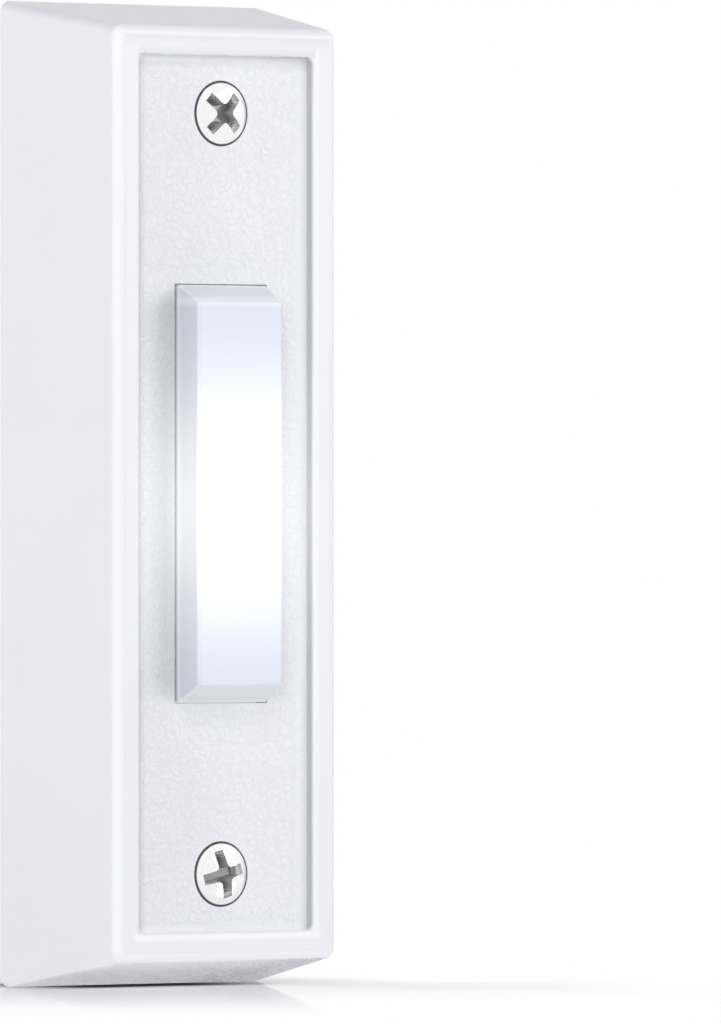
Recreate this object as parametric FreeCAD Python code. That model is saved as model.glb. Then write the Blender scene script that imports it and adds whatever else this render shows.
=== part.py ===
import FreeCAD, Part
import math
import os

# A lit doorbell push button that is screwed to the wall beside a door.
# Sizes are in millimetres. X runs to the right, +Y goes into the wall and +Z is up.
# The origin is the centre of the housing's open back, in the plane of the wall.

# Housing: a tall moulded cap that narrows towards its front
back_height = 82.5
back_width = 27.2
housing_depth = 13.7
draft_inset = 2.35
edge_radius = 1.0
rim_width = 2.35
recess_depth = 1.0
recess_corner_radius = 0.6
lip_radius = 0.35
front_wall = 1.5
side_wall = 1.5

# Screw bosses moulded inside the housing, one near each end
screw_end_distance = 4.8
boss_radius = 3.5
boss_bore_radius = 1.65
boss_rib_width = 1.0
boss_rib_back_gap = 0.6

# Push bar
window_length = 35.0
window_width = 9.5
bar_side_gap = 0.2
bar_end_gap = 0.1
bar_rise = 2.85
bar_shoulder_rise = 0.25
bar_side_inset = 0.25
bar_end_inset = 1.4
bar_edge_radius = 0.3
bar_side_wall = 1.0
bar_end_wall = 1.75
bar_top_wall = 1.2
bar_travel = 1.0
flange_overlap = 1.1
flange_thickness = 0.9
stop_gap = 0.02

# Ribs in the housing that guide the bar's flange and carry the switch base
guide_gap = 0.15
guide_width = 1.0
guide_length = 4.5
guide_end_distance = 0.5

# Switch base, and the lugs on the housing's side walls that it snaps behind
base_distance = 4.2
base_thickness = 1.8
base_side_gap = 0.3
base_boss_gap = 0.5
base_corner_radius = 1.5
barrier_width = 1.2
barrier_height = 3.0
lug_overlap = 0.5
lug_slope = 1.4
lug_gap = 0.05

# Return springs
spring_length = 3.8
spring_end_distance = 4.0
spring_outer_radius = 1.7
spring_wire_radius = 0.175
spring_turns = 4.5
spring_closed_turns = 0.75
spring_closed_pitch = 0.4
spring_post_radius = 1.8
bar_spigot_radius = 1.0
bar_spigot_length = 1.2
base_spigot_radius = 1.1
base_spigot_length = 0.8

# Contacts
leaf_width = 3.2
leaf_thickness = 0.25
leaf_rise = 2.5
leaf_tab_length = 3.4
leaf_slope_length = 2.9
leaf_tip_overhang = 1.3
leaf_spring_gap = 1.2
strip_width = 2.6
strip_thickness = 0.5
strip_tip_overhang = 1.2
contact_radius = 0.9
leaf_contact_height = 0.4
contact_gap = 0.03
actuator_radius = 1.2
actuator_gap = 0.03

# Rivets, terminal plates and wire screws
rivet_edge_distance = 2.6
rivet_radius = 0.8
rivet_head_radius = 1.4
rivet_head_height = 0.45
plate_edge_distance = 0.9
plate_width = 6.4
plate_thickness = 0.8
plate_end_distance = 2.0
plate_screw_distance = 3.2
terminal_screw_z = 0.0
terminal_screw_radius = 1.45
terminal_screw_tip_gap = 0.1
terminal_head_radius = 2.7
terminal_head_height = 1.9
washer_width = 6.0
washer_thickness = 0.6
terminal_slot_width = 0.7
terminal_slot_depth = 0.7
terminal_head_rounding = 0.7

# Lamp board and the parts soldered to it
board_side_ledge = 0.6
board_thickness = 1.0
board_leaf_gap = 1.4
board_spring_gap = 0.8
board_pocket_floor = 0.6
board_pocket_gap = 0.4
board_part_gap = 0.5
peg_side_distance = 0.9
peg_end_distance = 0.9
peg_radius = 0.5
peg_head_radius = 0.8
peg_head_height = 0.3
lamp_z = 0.0
lamp_height = 4.6
lamp_radius = 1.5
lamp_foot_radius = 1.9
lamp_foot_height = 1.0
lamp_lead_spacing = 2.54
diode_radius = 0.9
diode_length = 3.8
resistor_radius = 0.8
resistor_cap_radius = 0.95
resistor_length = 3.4
resistor_cap_length = 0.8
lead_half_span = 3.0
lead_radius = 0.25
lead_bend_radius = 0.5
lead_tail = 0.6
solder_radius = 0.65
solder_tip_radius = 0.32
solder_height = 0.45
wire_radius = 0.35
wire_bend_radius = 0.45
wire_height = 0.65
wire_end_height = 1.1
wire_board_distance = 3.4
wire_solder_radius = 0.9
wire_solder_tip_radius = 0.5

# Wall screws: number four, oval countersunk head, cross recess
screw_length = 31.75
screw_thread_radius = 1.42
screw_shank_radius = 1.25
screw_thread_start = 0.5
screw_point_length = 3.5
screw_tip_radius = 0.12
screw_head_radius = 2.7
screw_head_band = 0.1
screw_head_dome = 0.7
screw_head_angle = 82.0
cross_depth = 1.4
cross_half_span = 2.26
cross_half_width = 0.49
cross_floor_half_span = 1.3
cross_floor_half_width = 0.34
cross_corner_radius = 0.35
upper_cross_angle = 43.0
lower_cross_angle = -14.0

# Clearances between pieces that fit in or on one another
screw_seat_gap = 0.05
hole_gap = 0.05
lead_hole_gap = 0.1
washer_hole_gap = 0.2

# Levels along Y, worked out from the sizes above
front_y = -housing_depth
panel_y = front_y + recess_depth
inner_front_y = panel_y + front_wall
base_front_y = inner_front_y + base_distance
base_back_y = base_front_y + base_thickness
plate_back_y = base_back_y + plate_thickness
washer_back_y = plate_back_y + washer_thickness
board_front_y = base_front_y - board_thickness
bar_front_y = panel_y - bar_rise
bar_shoulder_y = panel_y - bar_shoulder_rise
bar_ceiling_y = bar_front_y + bar_top_wall
flange_front_y = inner_front_y + stop_gap
flange_back_y = flange_front_y + flange_thickness
spring_front_y = base_front_y - spring_length
leaf_back_y = base_front_y - leaf_rise
leaf_front_y = leaf_back_y - leaf_thickness
leaf_contact_back_y = leaf_back_y + leaf_contact_height
strip_front_y = base_front_y - strip_thickness
fixed_contact_front_y = leaf_contact_back_y + bar_travel + contact_gap

# Places along X and Z
recess_half_width = back_width / 2 - draft_inset - rim_width
recess_half_height = back_height / 2 - draft_inset - rim_width
screw_z = recess_half_height - screw_end_distance
window_half_width = window_width / 2
window_half_length = window_length / 2
bar_half_width = window_half_width - bar_side_gap
bar_half_length = window_half_length - bar_end_gap
hollow_half_width = bar_half_width - bar_side_wall
hollow_half_length = bar_half_length - bar_end_wall
flange_half_width = window_half_width + flange_overlap
flange_half_length = window_half_length + flange_overlap
guide_high_z = window_half_length - guide_end_distance
guide_low_z = guide_high_z - guide_length
spring_z = window_half_length - spring_end_distance
contact_z = -(spring_z - spring_outer_radius - leaf_spring_gap - leaf_width / 2)
base_half_length = screw_z - boss_radius - base_boss_gap
board_low_z = contact_z + leaf_width / 2 + board_leaf_gap
board_high_z = spring_z - spring_outer_radius - board_spring_gap
diode_z = lamp_z + lamp_foot_radius + board_part_gap + diode_radius
resistor_z = diode_z + diode_radius + board_part_gap + resistor_cap_radius
wire_z = board_low_z + wire_board_distance
board_pocket_half_width = lead_half_span + solder_radius + board_pocket_gap
board_half_width = board_pocket_half_width + board_side_ledge
board_pocket_low_z = min(wire_z, lamp_z) - solder_radius - board_pocket_gap
board_pocket_high_z = resistor_z + solder_radius + board_pocket_gap

Vec = FreeCAD.Vector
INTO_WALL = Vec(0, 1, 0)
EMBED = 0.5
TINY = 0.001
SPRING_STEPS = 16


def outer_half_width(y):
    return back_width / 2 + draft_inset * y / housing_depth


def outer_half_height(y):
    return back_height / 2 + draft_inset * y / housing_depth


def inner_half_width(y):
    return outer_half_width(y) - side_wall


def inner_half_height(y):
    return outer_half_height(y) - side_wall


base_half_width = inner_half_width(base_front_y) - base_side_gap
rivet_x = base_half_width - rivet_edge_distance
plate_outer_x = base_half_width - plate_edge_distance
plate_inner_x = plate_outer_x - plate_width
terminal_x = (plate_inner_x + plate_outer_x) / 2


# Simple solids, with their long side or axis along Y
def block(x0, x1, y0, y1, z0, z1):
    return Part.makeBox(x1 - x0, y1 - y0, z1 - z0, Vec(x0, y0, z0))


def slab(half_x, half_z, y0, y1, x=0.0, z=0.0):
    return block(x - half_x, x + half_x, y0, y1, z - half_z, z + half_z)


def rod(radius, y0, y1, x=0.0, z=0.0):
    return Part.makeCylinder(radius, y1 - y0, Vec(x, y0, z), INTO_WALL)


def cone(radius0, radius1, y0, y1, x=0.0, z=0.0):
    return Part.makeCone(radius0, radius1, y1 - y0, Vec(x, y0, z), INTO_WALL)


def rectangle(half_x, half_z, y):
    corners = [
        Vec(-half_x, y, -half_z),
        Vec(half_x, y, -half_z),
        Vec(half_x, y, half_z),
        Vec(-half_x, y, half_z),
    ]
    return Part.makePolygon(corners + corners[:1])


def frustum(half_x0, half_z0, y0, half_x1, half_z1, y1):
    return Part.makeLoft([rectangle(half_x0, half_z0, y0), rectangle(half_x1, half_z1, y1)], True, True)


def along_y(edge):
    box = edge.BoundBox
    return box.XLength < TINY and box.ZLength < TINY


def lies_at(edge, y):
    return abs(edge.BoundBox.YMin - y) < TINY and abs(edge.BoundBox.YMax - y) < TINY


def rounded_slab(half_x, half_z, y0, y1, radius):
    plate = slab(half_x, half_z, y0, y1)
    return plate.makeFillet(radius, [edge for edge in plate.Edges if along_y(edge)])


def turned(points, x, z, dome=None):
    """Solid of revolution about an axis along Y, from (radius, y) points; dome bends the first edge."""
    corners = [Vec(radius, y, 0) for radius, y in points]
    edges = [Part.makeLine(a, b) for a, b in zip(corners, corners[1:] + corners[:1])]
    if dome:
        edges[0] = Part.Arc(corners[0], Vec(dome[0], dome[1], 0), corners[1]).toShape()
    face = Part.Face(Part.Wire(edges))
    solid = face.revolve(Vec(0, 0, 0), INTO_WALL, 360)
    solid.translate(Vec(x, 0, z))
    return solid


def bent_rod(points, bend_radius, radius):
    """Round wire along straight legs, with each inner corner bent to an arc."""
    edges = []
    start = points[0]
    for before, corner, after in zip(points, points[1:], points[2:]):
        back = (before - corner).normalize()
        ahead = (after - corner).normalize()
        half_angle = back.getAngle(ahead) / 2
        setback = bend_radius / math.tan(half_angle)
        inward = (back + ahead).normalize()
        arc_middle = corner + inward * (bend_radius / math.sin(half_angle) - bend_radius)
        arc_start = corner + back * setback
        arc_end = corner + ahead * setback
        edges.append(Part.makeLine(start, arc_start))
        edges.append(Part.Arc(arc_start, arc_middle, arc_end).toShape())
        start = arc_end
    edges.append(Part.makeLine(start, points[-1]))
    direction = points[1] - points[0]
    section = Part.Wire(Part.makeCircle(radius, points[0], direction))
    return Part.Wire(edges).makePipeShell([section], True, False)


# Housing
def housing_outside():
    body = frustum(
        outer_half_width(0), outer_half_height(0), 0,
        outer_half_width(front_y), outer_half_height(front_y), front_y,
    )
    return body.makeFillet(edge_radius, [edge for edge in body.Edges if not lies_at(edge, 0)])


def with_recess(body):
    pocket = rounded_slab(
        recess_half_width, recess_half_height, front_y - EMBED, panel_y, recess_corner_radius
    )
    body = body.cut(pocket)
    lip = [
        edge for edge in body.Edges
        if lies_at(edge, front_y)
        and edge.BoundBox.XMax < recess_half_width + TINY
        and edge.BoundBox.XMin > -recess_half_width - TINY
        and edge.BoundBox.ZMax < recess_half_height + TINY
        and edge.BoundBox.ZMin > -recess_half_height - TINY
    ]
    return body.makeFillet(lip_radius, lip)


def screw_boss(side):
    boss = rod(boss_radius, inner_front_y - EMBED, 0, 0, side * screw_z)
    rib_ends = sorted([side * screw_z, side * outer_half_height(0)])
    rib = block(
        -boss_rib_width / 2, boss_rib_width / 2,
        inner_front_y - EMBED, -boss_rib_back_gap, rib_ends[0], rib_ends[1],
    )
    return boss.fuse(rib)


def screw_hole(side):
    mouth = screw_head_radius + screw_seat_gap
    slope = math.tan(math.radians(screw_head_angle / 2))
    cone_end_y = panel_y + screw_head_band + (mouth - boss_bore_radius) / slope
    band = rod(mouth, front_y, panel_y + screw_head_band, 0, side * screw_z)
    seat = cone(mouth, boss_bore_radius, panel_y + screw_head_band, cone_end_y, 0, side * screw_z)
    bore = rod(boss_bore_radius, panel_y, EMBED, 0, side * screw_z)
    return band.fuse(seat).fuse(bore)


def guide_rib(side_x, side_z):
    inner_x = flange_half_width + guide_gap
    xs = sorted([side_x * inner_x, side_x * (inner_x + guide_width)])
    zs = sorted([side_z * guide_high_z, side_z * guide_low_z])
    return block(xs[0], xs[1], inner_front_y - EMBED, base_front_y, zs[0], zs[1])


def base_lug(side_x, side_z):
    """Wedge on a side wall: flat against the base, sloping where the base is pushed in."""
    seat_y = base_back_y + lug_gap
    tip_x = side_x * (base_half_width - lug_overlap)
    wall_x = side_x * outer_half_width(0)
    slope_depth = lug_slope * abs(wall_x - tip_x)
    corners = [
        Vec(tip_x, seat_y, side_z * guide_low_z),
        Vec(wall_x, seat_y, side_z * guide_low_z),
        Vec(wall_x, seat_y + slope_depth, side_z * guide_low_z),
    ]
    outline = Part.makePolygon(corners + corners[:1])
    return Part.Face(outline).extrude(Vec(0, 0, side_z * guide_length))


def housing():
    outside = with_recess(housing_outside())
    cavity = frustum(
        inner_half_width(0), inner_half_height(0), 0,
        inner_half_width(inner_front_y), inner_half_height(inner_front_y), inner_front_y,
    )
    body = outside.cut(cavity)
    inside_features = []
    for side in (-1, 1):
        inside_features.append(screw_boss(side))
        for side_x in (-1, 1):
            inside_features.append(guide_rib(side_x, side))
            inside_features.append(base_lug(side_x, side))
    for feature in inside_features:
        body = body.fuse(feature.common(outside))
    for side in (-1, 1):
        body = body.cut(screw_hole(side))
    window = slab(window_half_width, window_half_length, front_y, inner_front_y + EMBED)
    return body.cut(window).removeSplitter()


# Push bar: one translucent moulding with its flange, spring posts and actuator post
def bar_cap():
    cap = frustum(
        bar_half_width, bar_half_length, bar_shoulder_y,
        bar_half_width - bar_side_inset, bar_half_length - bar_end_inset, bar_front_y,
    )
    rounded = [edge for edge in cap.Edges if not lies_at(edge, bar_shoulder_y)]
    return cap.makeFillet(bar_edge_radius, rounded)


def spring_post(side):
    post = rod(spring_post_radius, bar_ceiling_y - EMBED, spring_front_y, 0, side * spring_z)
    spigot = rod(bar_spigot_radius, spring_front_y, spring_front_y + bar_spigot_length, 0, side * spring_z)
    return post.fuse(spigot)


def push_bar():
    shank = rounded_slab(bar_half_width, bar_half_length, bar_shoulder_y, flange_back_y, bar_edge_radius)
    flange = rounded_slab(
        flange_half_width, flange_half_length, flange_front_y, flange_back_y, bar_edge_radius
    )
    hollow = slab(hollow_half_width, hollow_half_length, bar_ceiling_y, flange_back_y)
    bar = bar_cap().fuse(shank).fuse(flange).cut(hollow)
    for side in (-1, 1):
        bar = bar.fuse(spring_post(side))
    actuator = rod(actuator_radius, bar_ceiling_y - EMBED, leaf_front_y - actuator_gap, 0, contact_z)
    return bar.fuse(actuator).removeSplitter()


# Switch base
def base_peg(x, z):
    stem = rod(peg_radius, board_front_y - peg_head_height, base_front_y + EMBED, x, z)
    head = rod(peg_head_radius, board_front_y - peg_head_height, board_front_y, x, z)
    return stem.fuse(head)


def peg_places():
    x = board_half_width - peg_side_distance
    return [(x, board_low_z + peg_end_distance), (-x, board_high_z - peg_end_distance)]


def switch_base():
    base = rounded_slab(
        base_half_width, base_half_length, base_front_y, base_back_y, base_corner_radius
    )
    barrier = block(
        -barrier_width / 2, barrier_width / 2, base_back_y, base_back_y + barrier_height,
        contact_z - plate_end_distance, terminal_screw_z + plate_screw_distance,
    )
    base = base.fuse(barrier)
    pocket = block(
        -board_pocket_half_width, board_pocket_half_width, base_front_y, base_back_y - board_pocket_floor,
        board_pocket_low_z, board_pocket_high_z,
    )
    base = base.cut(pocket)
    for x, z in peg_places():
        base = base.fuse(base_peg(x, z))
    for side in (-1, 1):
        spigot = rod(
            base_spigot_radius, base_front_y - base_spigot_length, base_front_y + EMBED,
            0, side * spring_z,
        )
        base = base.fuse(spigot)
        holes = [
            (rivet_radius + hole_gap, side * rivet_x, contact_z),
            (terminal_screw_radius + hole_gap, side * terminal_x, terminal_screw_z),
        ]
        for radius, x, z in holes:
            base = base.cut(rod(radius, base_front_y - EMBED, base_back_y + EMBED, x, z))
    return base.removeSplitter()


# Return springs, with closed ends
def spring_centre_line():
    """Points of the wire's centre: closed turns at both ends and open turns between them."""
    coil_radius = spring_outer_radius - spring_wire_radius
    low_y = spring_front_y + spring_wire_radius
    high_y = base_front_y - spring_wire_radius
    closed_rise = spring_closed_turns * spring_closed_pitch
    steps = int(spring_turns * SPRING_STEPS)
    points = []
    for step in range(steps + 1):
        turn = spring_turns * step / steps
        if turn < spring_closed_turns:
            y = low_y + closed_rise * turn / spring_closed_turns
        elif turn > spring_turns - spring_closed_turns:
            y = high_y - closed_rise * (spring_turns - turn) / spring_closed_turns
        else:
            open_share = (turn - spring_closed_turns) / (spring_turns - 2 * spring_closed_turns)
            y = low_y + closed_rise + open_share * (high_y - low_y - 2 * closed_rise)
        angle = 2 * math.pi * turn
        points.append(Vec(coil_radius * math.cos(angle), y, coil_radius * math.sin(angle)))
    return points


def return_spring(side):
    points = spring_centre_line()
    curve = Part.BSplineCurve()
    curve.interpolate(points)
    section = Part.Wire(Part.makeCircle(spring_wire_radius, points[0], curve.tangent(0)[0]))
    spring = Part.Wire(curve.toShape()).makePipeShell([section], True, True)
    spring.translate(Vec(0, 0, side * spring_z))
    return spring


# Contacts
def contact_leaf():
    tab_start = -rivet_x - leaf_tab_length / 2
    slope_start = tab_start + leaf_tab_length
    slope_end = slope_start + leaf_slope_length
    tip = leaf_tip_overhang
    tab_front_y = base_front_y - leaf_thickness
    slope_angle = math.atan2(tab_front_y - leaf_front_y, leaf_slope_length)
    bend_shift = leaf_thickness * math.tan(slope_angle / 2)
    front = [
        Vec(tab_start, tab_front_y, 0),
        Vec(slope_start, tab_front_y, 0),
        Vec(slope_end, leaf_front_y, 0),
        Vec(tip, leaf_front_y, 0),
    ]
    back = [
        Vec(tip, leaf_back_y, 0),
        Vec(slope_end + bend_shift, leaf_back_y, 0),
        Vec(slope_start + bend_shift, base_front_y, 0),
        Vec(tab_start, base_front_y, 0),
    ]
    outline = Part.makePolygon(front + back + front[:1])
    leaf = Part.Face(outline).extrude(Vec(0, 0, leaf_width))
    leaf.translate(Vec(0, 0, contact_z - leaf_width / 2))
    hole = rod(rivet_radius + hole_gap, tab_front_y - EMBED, base_front_y + EMBED, -rivet_x, contact_z)
    return leaf.cut(hole)


def leaf_contact():
    return rod(contact_radius, leaf_back_y, leaf_contact_back_y, 0, contact_z)


def fixed_contact_strip():
    strip = block(
        -strip_tip_overhang, rivet_x + leaf_tab_length / 2, strip_front_y, base_front_y,
        contact_z - strip_width / 2, contact_z + strip_width / 2,
    )
    hole = rod(rivet_radius + hole_gap, strip_front_y - EMBED, base_front_y + EMBED, rivet_x, contact_z)
    return strip.cut(hole)


def fixed_contact():
    return rod(contact_radius, fixed_contact_front_y, strip_front_y, 0, contact_z)


# Rivets, terminal plates, washers and wire screws
def rivet_front_y(side):
    return base_front_y - (leaf_thickness if side < 0 else strip_thickness)


def contact_rivet(side):
    front = rivet_front_y(side)
    x = side * rivet_x
    shank = rod(rivet_radius, front - rivet_head_height, plate_back_y + rivet_head_height, x, contact_z)
    front_head = rod(rivet_head_radius, front - rivet_head_height, front, x, contact_z)
    back_head = rod(rivet_head_radius, plate_back_y, plate_back_y + rivet_head_height, x, contact_z)
    return shank.fuse(front_head).fuse(back_head).removeSplitter()


def terminal_plate(side):
    xs = sorted([side * plate_inner_x, side * plate_outer_x])
    plate = block(
        xs[0], xs[1], base_back_y, plate_back_y,
        contact_z - plate_end_distance, terminal_screw_z + plate_screw_distance,
    )
    holes = [
        (rivet_radius + hole_gap, side * rivet_x, contact_z),
        (terminal_screw_radius + hole_gap, side * terminal_x, terminal_screw_z),
    ]
    for radius, x, z in holes:
        plate = plate.cut(rod(radius, base_back_y - EMBED, plate_back_y + EMBED, x, z))
    return plate


def wire_washer(side):
    x = side * terminal_x
    washer = slab(washer_width / 2, washer_width / 2, plate_back_y, washer_back_y, x, terminal_screw_z)
    hole = rod(
        terminal_screw_radius + washer_hole_gap, plate_back_y - EMBED, washer_back_y + EMBED,
        x, terminal_screw_z,
    )
    return washer.cut(hole)


def terminal_screw(side):
    """Round-headed screw with a straight slot; its head faces the wall."""
    x = side * terminal_x
    z = terminal_screw_z
    head_y = washer_back_y + terminal_head_height
    head = rod(terminal_head_radius, washer_back_y, head_y, x, z)
    head = head.makeFillet(terminal_head_rounding, [edge for edge in head.Edges if lies_at(edge, head_y)])
    slot = slab(
        terminal_head_radius + EMBED, terminal_slot_width / 2,
        head_y - terminal_slot_depth, head_y + EMBED, x, z,
    )
    shank = rod(terminal_screw_radius, base_front_y + terminal_screw_tip_gap, washer_back_y, x, z)
    return head.cut(slot).fuse(shank).removeSplitter()


# Lamp board
def lead_places():
    """X and Z of every lead that passes through the board."""
    places = []
    for side in (-1, 1):
        places.append((side * lamp_lead_spacing / 2, lamp_z))
        places.append((side * lead_half_span, diode_z))
        places.append((side * lead_half_span, resistor_z))
    return places


def led_board():
    board = block(
        -board_half_width, board_half_width, board_front_y, base_front_y, board_low_z, board_high_z
    )
    holes = [(lead_radius + lead_hole_gap, x, z) for x, z in lead_places()]
    holes += [(wire_radius + lead_hole_gap, side * lead_half_span, wire_z) for side in (-1, 1)]
    holes += [(peg_radius + hole_gap, x, z) for x, z in peg_places()]
    for radius, x, z in holes:
        board = board.cut(rod(radius, board_front_y - EMBED, base_front_y + EMBED, x, z))
    return board


def led_lamp():
    foot = rod(lamp_foot_radius, board_front_y - lamp_foot_height, board_front_y, 0, lamp_z)
    dome_y = board_front_y - lamp_height + lamp_radius
    body = rod(lamp_radius, dome_y, board_front_y, 0, lamp_z)
    dome = Part.makeSphere(lamp_radius, Vec(0, dome_y, lamp_z))
    return foot.fuse(body).fuse(dome).removeSplitter()


def lamp_lead(side):
    tail_y = base_front_y + lead_tail
    return rod(lead_radius, board_front_y, tail_y, side * lamp_lead_spacing / 2, lamp_z)


def along_x(radius, half_length, centre_y, z, centre_x=0.0):
    start = Vec(centre_x - half_length, centre_y, z)
    return Part.makeCylinder(radius, 2 * half_length, start, Vec(1, 0, 0))


def rectifier_diode():
    return along_x(diode_radius, diode_length / 2, board_front_y - diode_radius, diode_z)


def resistor():
    centre_y = board_front_y - resistor_cap_radius
    body = along_x(resistor_radius, resistor_length / 2, centre_y, resistor_z)
    cap_x = (resistor_length - resistor_cap_length) / 2
    for side in (-1, 1):
        body = body.fuse(
            along_x(resistor_cap_radius, resistor_cap_length / 2, centre_y, resistor_z, side * cap_x)
        )
    return body.removeSplitter()


def axial_lead(side, body_length, body_radius, z):
    """Lead that leaves the end of a body lying on the board and turns down through it."""
    centre_y = board_front_y - body_radius
    points = [
        Vec(side * body_length / 2, centre_y, z),
        Vec(side * lead_half_span, centre_y, z),
        Vec(side * lead_half_span, base_front_y + lead_tail, z),
    ]
    return bent_rod(points, lead_bend_radius, lead_radius)


def solder_joint(hole_radius, foot_radius, tip_radius, foot_y, tip_y, x, z):
    low_y, high_y = sorted([foot_y, tip_y])
    radii = (foot_radius, tip_radius) if foot_y < tip_y else (tip_radius, foot_radius)
    joint = cone(radii[0], radii[1], low_y, high_y, x, z)
    return joint.cut(rod(hole_radius, low_y - EMBED, high_y + EMBED, x, z))


def lead_solder(x, z):
    return solder_joint(
        lead_radius, solder_radius, solder_tip_radius, base_front_y, base_front_y + solder_height, x, z
    )


def wire_solder(side):
    return solder_joint(
        wire_radius, solder_radius, wire_radius + lead_hole_gap, base_front_y,
        base_front_y + solder_height, side * lead_half_span, wire_z,
    )


def rivet_solder(side):
    head_y = rivet_front_y(side) - rivet_head_height
    return solder_joint(
        wire_radius, wire_solder_radius, wire_solder_tip_radius, head_y, head_y - solder_height,
        side * rivet_x, contact_z,
    )


def jumper_wire(side):
    """Wire from the board to the rivet, low enough to stay behind the pressed flange."""
    wire_y = board_front_y - wire_height
    points = [
        Vec(side * lead_half_span, base_front_y + lead_tail, wire_z),
        Vec(side * lead_half_span, wire_y, wire_z),
        Vec(side * rivet_x, board_front_y - wire_end_height, contact_z),
        Vec(side * rivet_x, rivet_front_y(side) - rivet_head_height, contact_z),
    ]
    return bent_rod(points, wire_bend_radius, wire_radius)


# Wall screws
def cross_recess(z, angle):
    top_y = panel_y - screw_head_dome - TINY
    floor_y = top_y + cross_depth
    wing = frustum(
        cross_half_span, cross_half_width, top_y, cross_floor_half_span, cross_floor_half_width, floor_y
    )
    other_wing = wing.copy()
    other_wing.rotate(Vec(0, 0, 0), INTO_WALL, 90)
    recess = wing.fuse(other_wing).removeSplitter()
    inner = [
        edge for edge in recess.Edges
        if not lies_at(edge, top_y) and not lies_at(edge, floor_y)
        and math.hypot(edge.CenterOfMass.x, edge.CenterOfMass.z) < cross_half_width + cross_floor_half_width
    ]
    recess = recess.makeFillet(cross_corner_radius, inner)
    recess.rotate(Vec(0, 0, 0), INTO_WALL, angle)
    recess.translate(Vec(0, 0, z))
    return recess


def mounting_screw(side, angle):
    slope = math.tan(math.radians(screw_head_angle / 2))
    band_y = panel_y + screw_head_band
    neck_y = band_y + (screw_head_radius - screw_shank_radius) / slope
    tip_y = panel_y + screw_length
    dome_radius = (screw_head_radius ** 2 + screw_head_dome ** 2) / (2 * screw_head_dome)
    dome_mid_x = screw_head_radius / 2
    dome_mid_y = panel_y - screw_head_dome + dome_radius - math.sqrt(dome_radius ** 2 - dome_mid_x ** 2)
    points = [
        (0, panel_y - screw_head_dome),
        (screw_head_radius, panel_y),
        (screw_head_radius, band_y),
        (screw_shank_radius, neck_y),
        (screw_shank_radius, screw_thread_start),
        (screw_thread_radius, screw_thread_start),
        (screw_thread_radius, tip_y - screw_point_length),
        (screw_tip_radius, tip_y),
        (0, tip_y),
    ]
    screw = turned(points, 0, side * screw_z, dome=(dome_mid_x, dome_mid_y))
    return screw.cut(cross_recess(side * screw_z, angle))


SIDES = {"left": -1, "right": 1}
ENDS = {"lower": -1, "upper": 1}

pieces = {
    "housing": housing(),
    "push_bar": push_bar(),
    "switch_base": switch_base(),
    "contact_leaf": contact_leaf(),
    "leaf_contact": leaf_contact(),
    "fixed_contact_strip": fixed_contact_strip(),
    "fixed_contact": fixed_contact(),
    "led_board": led_board(),
    "led_lamp": led_lamp(),
    "rectifier_diode": rectifier_diode(),
    "resistor": resistor(),
    "mounting_screw_lower": mounting_screw(-1, lower_cross_angle),
    "mounting_screw_upper": mounting_screw(1, upper_cross_angle),
}
for end, side in ENDS.items():
    pieces["return_spring_" + end] = return_spring(side)
for hand, side in SIDES.items():
    pieces["contact_rivet_" + hand] = contact_rivet(side)
    pieces["terminal_plate_" + hand] = terminal_plate(side)
    pieces["wire_washer_" + hand] = wire_washer(side)
    pieces["terminal_screw_" + hand] = terminal_screw(side)
    pieces["lamp_lead_" + hand] = lamp_lead(side)
    pieces["diode_lead_" + hand] = axial_lead(side, diode_length, diode_radius, diode_z)
    pieces["resistor_lead_" + hand] = axial_lead(side, resistor_length, resistor_cap_radius, resistor_z)
    pieces["jumper_wire_" + hand] = jumper_wire(side)
    pieces["solder_lamp_" + hand] = lead_solder(side * lamp_lead_spacing / 2, lamp_z)
    pieces["solder_diode_" + hand] = lead_solder(side * lead_half_span, diode_z)
    pieces["solder_resistor_" + hand] = lead_solder(side * lead_half_span, resistor_z)
    pieces["solder_wire_" + hand] = wire_solder(side)
    pieces["solder_rivet_" + hand] = rivet_solder(side)

os.makedirs("parts", exist_ok=True)
for name, shape in pieces.items():
    shape.exportStep("parts/" + name + ".step")
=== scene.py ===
import math

import bmesh
import bpy
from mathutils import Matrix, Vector, geometry, noise


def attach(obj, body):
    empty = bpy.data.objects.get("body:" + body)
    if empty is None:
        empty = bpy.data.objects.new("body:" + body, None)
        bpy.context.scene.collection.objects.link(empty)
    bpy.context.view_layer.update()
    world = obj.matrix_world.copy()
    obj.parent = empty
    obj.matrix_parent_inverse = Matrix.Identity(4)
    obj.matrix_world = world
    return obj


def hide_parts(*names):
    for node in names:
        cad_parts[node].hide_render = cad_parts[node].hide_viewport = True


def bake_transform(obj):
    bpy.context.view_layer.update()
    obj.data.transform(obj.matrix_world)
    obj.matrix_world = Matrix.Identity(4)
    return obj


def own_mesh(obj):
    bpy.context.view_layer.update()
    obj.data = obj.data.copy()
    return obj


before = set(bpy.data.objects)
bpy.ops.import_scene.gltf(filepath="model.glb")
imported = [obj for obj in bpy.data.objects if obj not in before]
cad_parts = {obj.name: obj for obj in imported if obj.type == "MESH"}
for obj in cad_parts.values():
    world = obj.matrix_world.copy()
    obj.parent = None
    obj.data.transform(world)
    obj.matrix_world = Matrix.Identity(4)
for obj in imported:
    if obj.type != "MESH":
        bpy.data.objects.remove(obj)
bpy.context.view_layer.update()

# The lit doorbell push button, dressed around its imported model. Lengths are written in
# millimetres, and turned to metres where a piece, a lamp or a node takes them.
MM = 0.001
ROOT = "housing_body"
BAR = "bar_body"

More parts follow.
